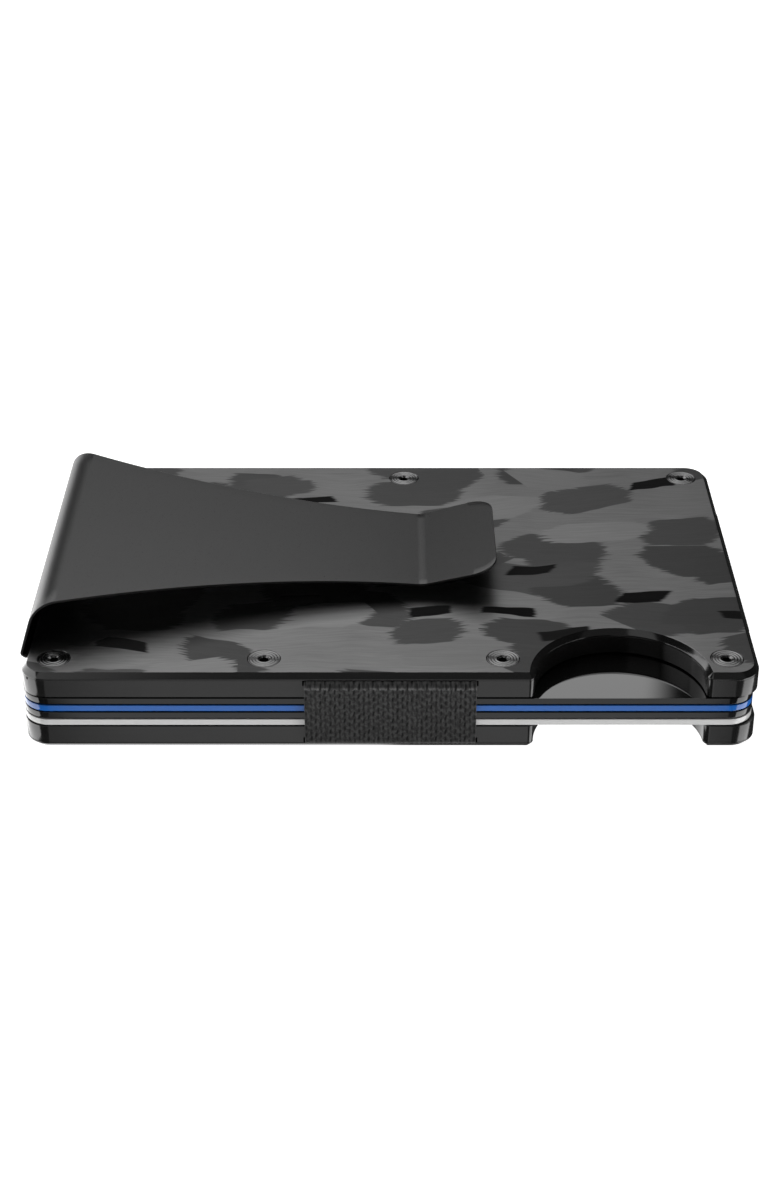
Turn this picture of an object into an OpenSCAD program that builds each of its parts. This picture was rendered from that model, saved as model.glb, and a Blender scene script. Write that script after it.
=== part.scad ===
// Slim card wallet: two screwed plate halves drawn together by elastic bands, with a sprung money clip.
// Lengths are in millimetres. The origin is the centre of the bottom face; +X points to the closed end
// that the end band covers, +Z to the face that carries the clip, and the thumb notch is on the -Y side.

/* [Cards] */
// Length of a card
card_l = 85.6; // [84:0.1:104]
// Width of a card
card_w = 53.98; // [45:0.02:66]
// Thickness of a card
card_t = 0.76; // [0.6:0.02:1]
// Corner radius of a card
card_corner_r = 3.18; // [2:0.02:5]
// Air between two cards, and between a card and a plate
card_gap = 0.2; // [0.1:0.05:0.4]

/* [Plates] */
// How much longer the plates are than a card
end_room = 0.4; // [0.4:0.05:1.5]
// How much wider the plates are than a card, on each side
side_room = 0.01; // [0.01:0.01:0.3]
// Corner radius of the plates
plate_corner_r = 3; // [2:0.1:6]
// Thickness of a face plate
face_t = 0.8; // [0.7:0.05:1.6]
// Thickness of a frame plate
frame_t = 2.25; // [1.9:0.05:3.5]
// Chamfer round the outer rim of a face plate
rim_chamfer = 0.62; // [0.3:0.02:0.65]

/* [Thumb notch] */
// Radius of the notch
notch_r = 10; // [7:0.1:10.8]
// Distance from the closed end of the plates to the notch's centre
notch_from_end = 16.25; // [14:0.05:20]
// Radius where the notch meets the long edge
notch_lip_r = 0.7; // [0.7:0.05:1.5]

/* [Screws] */
// Diameter of a flat screw head
head_d = 3.8; // [3:0.1:4.4]
// Diameter of a screw shank
shank_d = 1.6; // [1.2:0.1:2]
// Overall length of a screw
screw_l = 2.7; // [2.2:0.05:2.8]
// Distance of every screw from the plate's nearest edges
screw_inset = 3.67; // [3:0.01:4.5]
// Place along X of the notch-side screw nearer the clip
front_screw_x = -14.75; // [-17:0.05:-13.5]
// Distance from the other notch-side screw to the notch's mouth
notch_screw_gap = 2.92; // [2.4:0.02:3.6]
// Place along X of the screw on the edge opposite the notch
back_screw_x = 1.85; // [-6:0.05:6]

/* [Elastic bands] */
// Thickness of the elastic webbing
band_t = 0.65; // [0.5:0.05:0.8]
// Width of the band that loops across both halves
cross_band_w = 20; // [14:0.5:20]
// Width of the band at the closed end
end_band_w = 30; // [20:0.5:31]
// Length of the end band that lies inside each half
tail_l = 18.65; // [14:0.05:20]
// Length of the folded hem that locks a tail in its pocket
hem_l = 3; // [2:0.1:5]

/* [Money clip] */
// Thickness of the spring sheet
clip_t = 0.3; // [0.2:0.05:0.5]
// Half of the clip's width at its foot
foot_half_w = 21.3; // [16:0.1:22]
// Half of the clip's width at the crease
crease_half_w = 9.2; // [6:0.1:12]
// Half of the clip's width across its tip
tip_half_w = 9.5; // [6:0.1:12]
// Straight length of the leg, from the foot bend to the crown bend
leg_l = 3.93; // [3:0.05:8]
// How far the leg leans in over the plate, in degrees
leg_lean = 17; // [5:1:25]
// Outer radius of the crown bend
crown_r = 3.05; // [2:0.05:5]
// How far the arm slopes down towards its tip, in degrees
arm_slope = 4.75; // [2:0.25:5]
// Length of the arm, from the crown bend to the crease
arm_l = 43.4; // [30:0.1:48]
// Length of the tip beyond the crease
tip_l = 9.3; // [6:0.1:14]
// How far the tip turns up from level, in degrees
tip_rise = 14.5; // [8:0.5:20]
// Corner radius of the tip
tip_corner_r = 3; // [1:0.1:6]

/* [Hidden] */

$fn = 64;
cut = 1;                  // how far a cutting solid runs past the face it opens
fit = 0.02;               // play between pieces that are screwed or trapped together
band_play = 0.2;          // play beside a band in its channel
band_slack = 0.03;        // play above and below a band in its channel
flex_gap = 0.5;           // slit between the fixed and the flexing part of the clip
sheet_lap = 0.02;         // how far a straight stretch of the clip's sheet starts inside the bend before it
card_count = 4;

// Plates and pocket
plate_l = card_l + end_room;
plate_w = card_w + 2 * side_room;
half_t = face_t + frame_t;
pocket_h = card_count * card_t + (card_count + 1) * card_gap;
body_t = 2 * half_t + pocket_h;
notch_x = plate_l / 2 - notch_from_end;
notch_mouth = sqrt(pow(notch_r + notch_lip_r, 2) - pow(notch_lip_r, 2));

// Screws, as points [x, y]
screw_x = plate_l / 2 - screw_inset;
screw_y = plate_w / 2 - screw_inset;
clip_end_screws = [[-screw_x, -screw_y], [-screw_x, screw_y]];
closed_end_screws = [[screw_x, -screw_y], [screw_x, screw_y]];
back_screw = [back_screw_x, screw_y];
notch_screw = [notch_x - notch_mouth - notch_screw_gap, -screw_y];
edge_screws = [[front_screw_x, -screw_y], notch_screw, back_screw];
all_screws = concat(clip_end_screws, closed_end_screws, edge_screws);
head_h = (head_d - shank_d) / 2;
socket_depth = 0.7;
socket_core_r = 0.34;
socket_lobe_r = 0.13;
socket_ring_r = 0.73;
socket_ring_h = 0.14;

// Bands: a channel lies in the outer side of each frame plate, under the face plate
channel_h = band_t + 2 * band_slack;
band_floor = half_t - frame_t + band_slack;       // height of a bottom run's lower side
band_shoulder = band_floor + band_t;              // height at which the side runs begin
cross_side_y = plate_w / 2 + fit;                 // inner side of the cross band's side runs
end_side_x = -plate_l / 2 + card_l + 0.05;        // inner side of the end band's side run
hem_t = 2 * band_t;
pin_hole_r = max(shank_d / 2, head_d / 2 + fit - face_t) + 2 * fit;

// Clip profile, from the base through the foot bend, the leg and the crown bend to the tip
seam_z = body_t - face_t;
base_l = 6.4;
base_edge = 0.8;          // rim of plate that hides the base's edge
ear_r = 2.4;
foot_r = 0.4;             // bend radius at the middle of the sheet
foot_x = -plate_l / 2 - 0.03;
base_z = seam_z - fit - clip_t / 2;
leg_turn = 90 - leg_lean;                         // the leg's direction above level
crown_mid_r = crown_r - clip_t / 2;
taper_power = 1.87;
taper_steps = 16;

// A point is [x, z, direction], with the direction in degrees above +X.
function ahead(p, d) = [p[0] + d * cos(p[2]), p[1] + d * sin(p[2]), p[2]];
// The centre of a bend to the right that starts at point p, and the point that it ends at.
function bend_centre(p, r) = [p[0] + r * sin(p[2]), p[1] - r * cos(p[2])];
function bend_end(p, angle, r) = let (c = bend_centre(p, r), a = p[2] - angle)
    [c[0] - r * sin(a), c[1] + r * cos(a), a];

foot_start = [foot_x, base_z, 180];
foot_turn = 90 + leg_lean;
leg_start = bend_end(foot_start, foot_turn, foot_r);
crown_start = ahead(leg_start, leg_l);
crown_turn = leg_turn + arm_slope;
arm_start = bend_end(crown_start, crown_turn, crown_mid_r);
crease = ahead(arm_start, arm_l);
tip_start = [crease[0], crease[1], tip_rise];
tip_end = ahead(tip_start, tip_l);

// Half of the clip's width at a place along X: a curved flare from the crease to the foot.
function clip_half_w(x) = let (s = (crease[0] - x) / (crease[0] - foot_x))
    crease_half_w + (foot_half_w - crease_half_w) * pow(max(s, 0), taper_power);

// Plan of one side of the arm, from the foot to the middle of the tip's end.
arm_side = concat(
    [[foot_x - cut, foot_half_w]],
    [for (i = [0 : taper_steps]) let (x = foot_x + (crease[0] - foot_x) * i / taper_steps) [x, clip_half_w(x)]],
    [for (a = [90 : -15 : 0])
        [tip_end[0] - tip_corner_r + tip_corner_r * cos(a), tip_half_w - tip_corner_r + tip_corner_r * sin(a)]]
);
arm_plan = concat(arm_side, [for (i = [len(arm_side) - 1 : -1 : 0]) [arm_side[i][0], -arm_side[i][1]]]);

// ---- Plates ----

// Rounded rectangle from four corner circles and two bars.
module rounded_rectangle(l, w, r) {
    square([l - 2 * r, w], center = true);
    square([l, w - 2 * r], center = true);
    for (x = [-1, 1], y = [-1, 1])
        translate([x * (l / 2 - r), y * (w / 2 - r)]) circle(r);
}

module slab(l, w, r, t) linear_extrude(t) rounded_rectangle(l, w, r);

// The part of a slab that narrows from full size at height h to its chamfered face at height 0.
module chamfered_slab(l, w, r, h) {
    module side_prism(run, span)
        translate([-run / 2, 0, 0]) rotate([90, 0, 90]) linear_extrude(run)
            polygon([[-span / 2 + h, 0], [span / 2 - h, 0], [span / 2, h], [-span / 2, h]]);
    side_prism(l - 2 * r, w);
    rotate(90) side_prism(w - 2 * r, l);
    for (x = [-1, 1], y = [-1, 1])
        translate([x * (l / 2 - r), y * (w / 2 - r), 0]) cylinder(h = h, r1 = r - h, r2 = r);
}

// The thumb notch between two heights; grow is how much wider its mouth is at the lower height.
module notch(z0, z1, grow = 0) {
    h = z1 - z0;
    translate([notch_x, -plate_w / 2, z0]) {
        cylinder(h = h, r1 = notch_r + grow, r2 = notch_r);
        difference() {
            translate([-notch_mouth, -cut, 0]) cube([2 * notch_mouth, cut + notch_lip_r, h]);
            for (x = [-1, 1]) translate([x * notch_mouth, notch_lip_r, 0])
                cylinder(h = h, r1 = notch_lip_r - grow, r2 = notch_lip_r);
        }
    }
}

// Countersunk through holes for all the screws of one half, outer face at height 0.
module screw_holes() {
    for (p = all_screws) translate(p) {
        translate([0, 0, -fit])
            cylinder(h = head_h + 3 * fit, r1 = head_d / 2 + 4 * fit, r2 = shank_d / 2 + fit);
        cylinder(h = half_t + cut, r = shank_d / 2 + fit);
    }
}

module face_plate() {
    difference() {
        union() {
            chamfered_slab(plate_l, plate_w, plate_corner_r, rim_chamfer);
            translate([0, 0, rim_chamfer])
                slab(plate_l, plate_w, plate_corner_r, face_t - rim_chamfer);
        }
        notch(0, rim_chamfer, rim_chamfer);
        notch(rim_chamfer, face_t + cut);
        screw_holes();
    }
}

// Channels for the bands, open towards the face plate.
module band_channels() {
    translate([-cross_band_w / 2 - band_play, -plate_w / 2 - cut, face_t - cut])
        cube([cross_band_w + 2 * band_play, plate_w + 2 * cut, channel_h + cut]);
    tail_x = end_side_x - tail_l - band_play;
    translate([tail_x, -end_band_w / 2 - band_play, face_t - cut])
        cube([plate_l, end_band_w + 2 * band_play, channel_h + cut]);
    translate([tail_x, -end_band_w / 2 - band_play, face_t - cut])
        cube([hem_l + 2 * band_play, end_band_w + 2 * band_play, hem_t + 2 * band_slack + cut]);
    translate([end_side_x - fit, -end_band_w / 2 - band_play, 0])
        cube([plate_l, end_band_w + 2 * band_play, half_t + cut]);
}

module frame_plate() {
    difference() {
        translate([0, 0, face_t]) slab(plate_l, plate_w, plate_corner_r, frame_t);
        notch(0, half_t + cut);
        screw_holes();
        band_channels();
    }
}

// Everything of a half is drawn for the bottom one; this turns it into the top one.
module as_top_half() translate([0, 0, body_t]) mirror([0, 0, 1]) children();

module bottom_face_plate() color([0.22, 0.22, 0.23]) face_plate();

module bottom_frame_plate() color([0.13, 0.13, 0.14]) frame_plate();

module top_face_plate() color([0.22, 0.22, 0.23]) as_top_half() face_plate();

module top_frame_plate() color([0.13, 0.13, 0.14]) difference() {
    as_top_half() frame_plate();
    clip_seat();
}

// ---- Screws ----

module socket_plan() {
    circle(socket_core_r);
    for (a = [0 : 60 : 300]) rotate(a) translate([socket_core_r, 0]) circle(socket_lobe_r);
}

module screw() {
    difference() {
        union() {
            cylinder(h = head_h, r1 = head_d / 2, r2 = shank_d / 2);
            cylinder(h = screw_l, r = shank_d / 2);
        }
        translate([0, 0, -cut]) linear_extrude(socket_depth + cut) socket_plan();
        translate([0, 0, -fit])
            cylinder(h = socket_ring_h + fit, r1 = socket_ring_r, r2 = socket_core_r + socket_lobe_r);
    }
}

module screws(places) color([0.3, 0.3, 0.31]) for (p = places) translate([p[0], p[1], fit]) screw();

module bottom_corner_screws() screws(concat(clip_end_screws, closed_end_screws));

module bottom_edge_screws() screws(edge_screws);

module top_corner_screws() as_top_half() screws(closed_end_screws);

module top_clip_screws() as_top_half() screws(clip_end_screws);

module top_edge_screws() as_top_half() screws(edge_screws);

// ---- Elastic bands ----

// A quarter-round turn over an edge along X, with its inner corner on the X axis.
module band_shoulder_turn(w) {
    intersection() {
        rotate([0, 90, 0]) cylinder(h = w, r = band_t, center = true);
        translate([0, -band_t / 2, -band_t / 2]) cube([w + cut, band_t, band_t], center = true);
    }
}

// The cross band in the bottom half: flat in its channel, turning up at both long edges.
module cross_band_run() {
    difference() {
        translate([-cross_band_w / 2, -cross_side_y, band_floor]) cube([cross_band_w, 2 * cross_side_y, band_t]);
        translate([back_screw[0], back_screw[1], 0]) cylinder(h = half_t, r = pin_hole_r);
    }
    for (side = [0, 180]) rotate(side) translate([0, -cross_side_y, band_shoulder]) band_shoulder_turn(cross_band_w);
}

module cross_band_side() {
    translate([-cross_band_w / 2, -cross_side_y - band_t, band_shoulder])
        cube([cross_band_w, band_t, body_t - 2 * band_shoulder]);
}

// The end band in the bottom half: a tail with a doubled hem, turning up at the closed end.
module end_band_tail() {
    translate([end_side_x - tail_l, -end_band_w / 2, band_floor]) {
        cube([tail_l, end_band_w, band_t]);
        cube([hem_l, end_band_w, hem_t]);
    }
    translate([end_side_x, 0, band_shoulder]) rotate(90) band_shoulder_turn(end_band_w);
}

module cross_band_bottom_run() color([0.1, 0.1, 0.11]) cross_band_run();

module cross_band_top_run() color([0.1, 0.1, 0.11]) as_top_half() cross_band_run();

module cross_band_front_side() color([0.1, 0.1, 0.11]) cross_band_side();

module cross_band_back_side() color([0.1, 0.1, 0.11]) rotate(180) cross_band_side();

module end_band_bottom_tail() color([0.1, 0.1, 0.11]) end_band_tail();

module end_band_top_tail() color([0.1, 0.1, 0.11]) as_top_half() end_band_tail();

module end_band_side() color([0.1, 0.1, 0.11])
    translate([end_side_x, -end_band_w / 2, band_shoulder])
        cube([band_t, end_band_w, body_t - 2 * band_shoulder]);

// ---- Money clip ----

// A straight stretch of sheet from point p, of a length and half a width.
module sheet_run(p, l, half_w)
    translate([p[0], 0, p[1]]) rotate([0, -p[2], 0])
        translate([-sheet_lap, -half_w, -clip_t / 2]) cube([l + sheet_lap, 2 * half_w, clip_t]);

// A bend of the sheet to the right from point p, through an angle, at a radius to its middle.
module sheet_bend(p, angle, r, half_w) {
    c = bend_centre(p, r);
    reach = 2 * (r + clip_t);
    translate([c[0], half_w, c[1]]) rotate([90, 0, 0]) linear_extrude(2 * half_w) intersection() {
        difference() {
            circle(r + clip_t / 2);
            circle(r - clip_t / 2);
        }
        polygon(concat([[0, 0]],
            [for (i = [0 : 2]) let (a = 90 + p[2] - angle * i / 2) [reach * cos(a), reach * sin(a)]]));
    }
}

// Plan of the base under the face plate, with an ear round each clip-end screw.
module base_plan(grow = 0) {
    x0 = -plate_l / 2 + base_edge - grow;
    x1 = -plate_l / 2 + base_l + grow;
    y1 = plate_w / 2 - base_edge + grow;
    r = min(ear_r, (x1 - x0) / 2);
    translate([(x0 + x1) / 2, 0]) rounded_rectangle(x1 - x0, 2 * y1, r);
    translate([-plate_l / 2, -foot_half_w - grow]) square([base_l / 2, 2 * (foot_half_w + grow)]);
}

// The seat that the base and the foot lie in, cut into the top frame plate.
module clip_seat() {
    translate([0, 0, seam_z - clip_t - 2 * fit]) {
        linear_extrude(clip_t + 2 * fit + cut) base_plan(fit);
        translate([-plate_l / 2 - cut, -foot_half_w - fit, 0])
            cube([cut + base_edge, 2 * (foot_half_w + fit), clip_t + 2 * fit + cut]);
    }
}

module money_clip_base() color([0.2, 0.2, 0.21]) {
    difference() {
        translate([0, 0, base_z - clip_t / 2]) linear_extrude(clip_t) base_plan();
        for (p = clip_end_screws) translate([p[0], p[1], 0]) cylinder(h = body_t, r = pin_hole_r);
    }
    sheet_run([foot_x, base_z, 0], -plate_l / 2 + base_edge - foot_x, foot_half_w);
    sheet_bend(foot_start, foot_turn, foot_r, foot_half_w);
    sheet_run(leg_start, leg_l - flex_gap, foot_half_w);
}

module money_clip_arm() color([0.2, 0.2, 0.21]) intersection() {
    union() {
        sheet_bend(crown_start, crown_turn, crown_mid_r, foot_half_w + cut);
        sheet_run(arm_start, arm_l, foot_half_w + cut);
        sheet_run(tip_start, tip_l, foot_half_w + cut);
        translate([crease[0], 0, crease[1]]) rotate([90, 0, 0])
            cylinder(h = 2 * foot_half_w, d = clip_t, center = true, $fn = 24);
    }
    linear_extrude(3 * body_t) polygon(arm_plan);
}

// ---- Cards ----

// A card by its place in the stack, counted from the bottom.
module card(place) {
    translate([(card_l - plate_l) / 2, 0, half_t + card_gap + place * (card_t + card_gap)])
        slab(card_l, card_w, card_corner_r, card_t);
}

module white_card() color([0.9, 0.9, 0.9]) card(0);

module grey_card() color([0.2, 0.2, 0.21]) card(1);

module blue_card() color([0.1, 0.28, 0.72]) card(2);

module black_card() color([0.03, 0.03, 0.03]) card(3);

bottom_face_plate();
bottom_frame_plate();
bottom_corner_screws();
bottom_edge_screws();
top_face_plate();
top_frame_plate();
top_corner_screws();
top_clip_screws();
top_edge_screws();
cross_band_bottom_run();
cross_band_top_run();
cross_band_front_side();
cross_band_back_side();
end_band_bottom_tail();
end_band_top_tail();
end_band_side();
money_clip_base();
money_clip_arm();
black_card();
blue_card();
grey_card();
white_card();
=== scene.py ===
"""A slim card wallet: two screwed plate halves round four cards, two elastic bands and a sprung money clip.

Lengths are in millimetres here, and each mesh is turned to metres as it is made. The axes are the frame's:
+X to the closed end, +Z up to the clip, and the thumb notch on the -Y side.
"""

import math

import bpy
from mathutils import Matrix, Vector


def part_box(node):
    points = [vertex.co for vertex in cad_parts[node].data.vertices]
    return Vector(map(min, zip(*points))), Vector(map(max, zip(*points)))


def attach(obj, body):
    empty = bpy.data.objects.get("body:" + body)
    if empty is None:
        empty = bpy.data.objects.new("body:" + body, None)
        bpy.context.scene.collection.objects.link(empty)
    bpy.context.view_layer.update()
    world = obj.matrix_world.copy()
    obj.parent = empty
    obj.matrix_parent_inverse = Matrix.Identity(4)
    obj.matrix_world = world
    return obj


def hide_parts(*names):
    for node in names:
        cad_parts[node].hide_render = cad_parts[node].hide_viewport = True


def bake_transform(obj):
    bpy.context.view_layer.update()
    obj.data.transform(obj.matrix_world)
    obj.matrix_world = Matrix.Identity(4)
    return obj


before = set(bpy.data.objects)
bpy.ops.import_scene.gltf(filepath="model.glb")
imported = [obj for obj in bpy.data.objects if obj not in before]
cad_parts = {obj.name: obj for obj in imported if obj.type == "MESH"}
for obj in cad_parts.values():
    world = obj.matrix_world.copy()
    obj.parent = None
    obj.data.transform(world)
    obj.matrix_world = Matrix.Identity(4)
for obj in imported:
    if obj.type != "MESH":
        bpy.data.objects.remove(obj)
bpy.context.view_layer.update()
MM = 0.001


# ---- Camera, floor and light ----
# The camera looks across the long side with the thumb notch, from about thirty degrees above.
# The floor is plain and pale, and the light is a pale tent with a few brighter and darker panels.

CAMERA_HEIGHT_ANGLE = math.radians(29.97)
CAMERA_DISTANCE = 276.72
CAMERA_AIM = Vector((-0.04, 0, 4.82))

camera = bpy.data.objects.new("camera", bpy.data.cameras.new("camera"))
bpy.context.scene.collection.objects.link(camera)
camera.data.sensor_width = 36
camera.data.lens = 65.42
camera.data.clip_start = 0.01
back = Vector((0, -math.cos(CAMERA_HEIGHT_ANGLE), math.sin(CAMERA_HEIGHT_ANGLE)))
camera.location = (CAMERA_AIM + back * CAMERA_DISTANCE) * MM
camera.rotation_mode = "QUATERNION"
camera.rotation_quaternion = (-back).to_track_quat("-Z", "Y")
bpy.context.scene.camera = camera
bpy.context.scene.view_settings.view_transform = "Standard"


class Wire:
    """A node's output. Arithmetic on it adds Math nodes to its tree."""

    def __init__(self, tree, socket):
        self.tree, self.socket = tree, socket

    @staticmethod
    def node(tree, kind, settings=None, values=None, output=0):
        """A node of a type, with its settings set first, then its sockets' values or links."""
        made = tree.nodes.new(kind)
        for name, value in (settings or {}).items():
            setattr(made, name, value)
        for name, value in (values or {}).items():
            if isinstance(value, Wire):
                tree.links.new(value.socket, made.inputs[name])
            else:
                made.inputs[name].default_value = value
        return Wire(tree, made.outputs[output])

    def other(self, output):
        """Another output of the same node."""
        return Wire(self.tree, self.socket.node.outputs[output])

    def math(self, operation, *others):
        """A Math node with this as its first number."""
        values = dict(enumerate((self, *others)))
        return Wire.node(self.tree, "ShaderNodeMath", {"operation": operation}, values)

    def __add__(self, other):
        return self.math("ADD", other)

    def __sub__(self, other):
        return self.math("SUBTRACT", other)

    def __mul__(self, other):
        return self.math("MULTIPLY", other)

    def __truediv__(self, other):
        return self.math("DIVIDE", other)

    def __neg__(self):
        return self.math("MULTIPLY", -1)

    def __radd__(self, other):
        return self.math("ADD", other)

    def __rsub__(self, other):
        return (-self).math("ADD", other)

    def __rmul__(self, other):
        return self.math("MULTIPLY", other)

    def step(self, low, high):
        """0 below low and 1 above high, with a smooth rise between."""
        settings = {"interpolation_type": "SMOOTHSTEP"}
        values = {"Value": self, "From Min": low, "From Max": high}
        return Wire.node(self.tree, "ShaderNodeMapRange", settings, values)

    def mix(self, low, high):
        """low where this is 0, high where it is 1."""
        return low + self * (high - low)


FLOOR_REACH = 3000
FLOOR_DROP = 0.2
floor_mesh = bpy.data.meshes.new("floor")
corner_signs = ((-1, -1), (1, -1), (1, 1), (-1, 1))
floor_corners = [(x * FLOOR_REACH * MM, y * FLOOR_REACH * MM, 0) for x, y in corner_signs]
floor_mesh.from_pydata(floor_corners, [], [(0, 1, 2, 3)])
floor = bpy.data.objects.new("floor", floor_mesh)
bpy.context.scene.collection.objects.link(floor)
floor.location.z = -FLOOR_DROP * MM
floor.visible_glossy = False
floor.visible_shadow = False
floor_paint = bpy.data.materials.new("floor_paint")
floor_paint.use_nodes = True
floor_shader = floor_paint.node_tree.nodes["Principled BSDF"]
floor_shader.inputs["Base Color"].default_value = (0.5, 0.5, 0.5, 1)
floor_shader.inputs["Roughness"].default_value = 1
floor_shader.inputs["Emission Color"].default_value = (1, 1, 1, 1)
floor_shader.inputs["Emission Strength"].default_value = 1.0
floor.data.materials.append(floor_paint)

tent = bpy.data.worlds.new("tent")
bpy.context.scene.world = tent
tent.use_nodes = True
sky = tent.node_tree
sky.nodes.clear()
direction = Wire.node(sky, "ShaderNodeTexCoord", output="Generated")
east = Wire.node(sky, "ShaderNodeSeparateXYZ", None, {0: direction}, "X")
north, up = east.other("Y"), east.other("Z")
height = up.math("ARCSINE") * (180 / math.pi)
turn_left = (-east).math("ARCTAN2", -north) * (180 / math.pi)     # degrees round from the camera's side
turn_right = east.math("ARCTAN2", -north) * (180 / math.pi)


def between(value, edges, blur):
    """1 between two edges and 0 outside, going over smoothly at each."""
    low, high = edges
    return value.step(low - blur, low + blur) * (1 - value.step(high - blur, high + blur))


def panel(turn, turn_edges, height_edges, level, blur=2):
    """A soft-edged panel of the tent, by how far round and how high it reaches, in degrees."""
    return between(turn, turn_edges, blur) * between(height, height_edges, min(blur, 2)) * level


light = (
    panel(turn_left, (-10.5, 10.2), (-95, 8), 1.2, blur=0.7)
    + panel(turn_left, (12.8, 57), (30, 80), 0.9)
    + panel(turn_left, (-60, 57), (30, 80), 0.2)
    + panel(turn_left, (130, 190), (-95, 3), 1.7)
    + panel(turn_right, (44, 100), (-95, 12), 4.2)
    + panel(turn_left, (112, 190), (29.5, 72), 3.3)
    + panel(turn_right, (171.6, 190), (29.5, 38), 3.3, blur=0.6)
    + panel(turn_right, (134, 190), (38, 72), 3.3)
    + 0.04
)
PLAIN_WHITE = 1.25     # what is seen past the floor's end
seen = Wire.node(sky, "ShaderNodeLightPath", output="Is Camera Ray")
backdrop = Wire.node(sky, "ShaderNodeBackground", None, {"Strength": seen.mix(light, PLAIN_WHITE)})
sky.links.new(backdrop.socket, sky.nodes.new("ShaderNodeOutputWorld").inputs["Surface"])


def softbox(name, place, aim, size, watts):
    """A lamp with a width and a height, aimed at a point."""
    lamp = bpy.data.objects.new(name, bpy.data.lights.new(name, "AREA"))
    bpy.context.scene.collection.objects.link(lamp)
    lamp.data.shape = "RECTANGLE"
    lamp.data.size, lamp.data.size_y = size[0] * MM, size[1] * MM
    lamp.data.energy = watts
    lamp.location = Vector(place) * MM
    lamp.rotation_mode = "QUATERNION"
    lamp.rotation_quaternion = (Vector(place) - Vector(aim)).to_track_quat("Z", "Y")
    lamp.visible_camera = False
    return lamp


softbox("top_softbox", (-60, 260, 420), (0, 0, 5), (240, 240), 0.3)
left_softbox = softbox("left_softbox", (-150, 18, 15), (0, 18, 15), (276, 230), 0.69)
left_softbox.visible_diffuse = False     # a gloss light only: it draws the bright line down the round corners


# ---- Cards ----
# Four blank bank cards of laminated plastic, each 0.76 thick with rounded corners and a glossy face.
# They lie in the pocket between the halves with a little air between them.

CARD_CORNER = 3.18
CARD_EDGE = 0.06
CARD_COLOURS = {
    "black_card": (0.003, 0.003, 0.003),
    "blue_card": (0.012, 0.094, 0.350),
    "grey_card": (0.007, 0.007, 0.0075),
    "white_card": (0.540, 0.540, 0.535),
}


def box_mm(node):
    """The lowest and highest corners of a CAD node, in millimetres."""
    low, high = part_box(node)
    return low / MM, high / MM


def arc(centre, radius, start, end, steps, hollow=False):
    """Points along an arc, from start to end degrees, each with the way out of the piece there."""
    turns = [math.radians(start + (end - start) * i / steps) for i in range(steps + 1)]
    out = -1 if hollow else 1
    ways = [(math.cos(turn), math.sin(turn)) for turn in turns]
    return [(centre[0] + radius * x, centre[1] + radius * y, out * x, out * y) for x, y in ways]


def rounded_rectangle(low, high, radius, steps=20):
    """The outline of a rectangle with round corners, from corner to corner."""
    x0, y0, x1, y1 = low[0] + radius, low[1] + radius, high[0] - radius, high[1] - radius
    return [p for centre, start in (((x0, y0), 180), ((x1, y0), 270), ((x1, y1), 0), ((x0, y1), 90))
            for p in arc(centre, radius, start, start + 90, steps)]


def eased(points, reach, steps=4):
    """The same line with its inner corners rounded, starting reach before each corner."""
    line = [points[0]]
    for before, corner, after in zip(points, points[1:], points[2:]):
        before, corner, after = Vector(before), Vector(corner), Vector(after)
        start = corner + (before - corner).normalized() * min(reach, (before - corner).length / 2)
        end = corner + (after - corner).normalized() * min(reach, (after - corner).length / 2)
        for i in range(steps + 1):
            t = i / steps
            line.append(tuple(start * (1 - t) ** 2 + corner * (2 * t * (1 - t)) + end * t ** 2))
    return line + [points[-1]]


def new_piece(name, points, faces):
    """A mesh object from points in millimetres."""
    mesh = bpy.data.meshes.new(name)
    mesh.from_pydata([(x * MM, y * MM, z * MM) for x, y, z in points], [], faces)
    mesh.validate()
    piece = bpy.data.objects.new(name, mesh)
    bpy.context.scene.collection.objects.link(piece)
    return piece


def slab(name, outline, profile):
    """A closed solid with an outline. Each row of the profile is how far it draws in, and its height."""
    n = len(outline)
    points = [(x - nx * inset, y - ny * inset, z) for inset, z in profile for x, y, nx, ny in outline]
    faces = [(k * n + i, k * n + (i + 1) % n, (k + 1) * n + (i + 1) % n, (k + 1) * n + i)
             for k in range(len(profile) - 1) for i in range(n)]
    last = (len(profile) - 1) * n
    return new_piece(name, points, faces + [tuple(reversed(range(n))), tuple(range(last, last + n))])


def applied(piece):
    """The piece with its modifiers turned into plain mesh."""
    bpy.context.view_layer.update()
    done = bpy.data.meshes.new_from_object(piece.evaluated_get(bpy.context.evaluated_depsgraph_get()))
    piece.modifiers.clear()
    piece.data = done
    return piece


def settled(piece, sharp=30):
    """The piece made smooth, except at edges sharper than an angle."""
    piece.data.shade_smooth()
    piece.data.set_sharp_from_angle(angle=math.radians(sharp))
    weighted = piece.modifiers.new("weighted", "WEIGHTED_NORMAL")
    weighted.keep_sharp = True
    return applied(piece)


def finish_material(name, **constants):
    """A new material, its tree and its shader, with the sockets that stay the same all over."""
    material = bpy.data.materials.new(name)
    material.use_nodes = True
    shader = material.node_tree.nodes["Principled BSDF"]
    for socket, value in constants.items():
        shader.inputs[socket.replace("_", " ")].default_value = value
    return material, material.node_tree, shader


def place_in(tree, scale=1 / MM):
    """Object coordinates, in millimetres unless told otherwise."""
    place = Wire.node(tree, "ShaderNodeTexCoord", output="Object")
    return Wire.node(tree, "ShaderNodeVectorMath", {"operation": "SCALE"}, {0: place, "Scale": scale})


def grey(tree, level):
    """A colour with three equal parts."""
    return Wire.node(tree, "ShaderNodeCombineColor", None, {"Red": level, "Green": level, "Blue": level})


def bumped(tree, shader, level, depth):
    """Sends a height, in shares of a depth in millimetres, to the shader's normal."""
    values = {"Height": level, "Distance": depth * MM, "Strength": 1.0}
    bump = Wire.node(tree, "ShaderNodeBump", None, values)
    tree.links.new(bump.socket, shader.inputs["Normal"])


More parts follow.
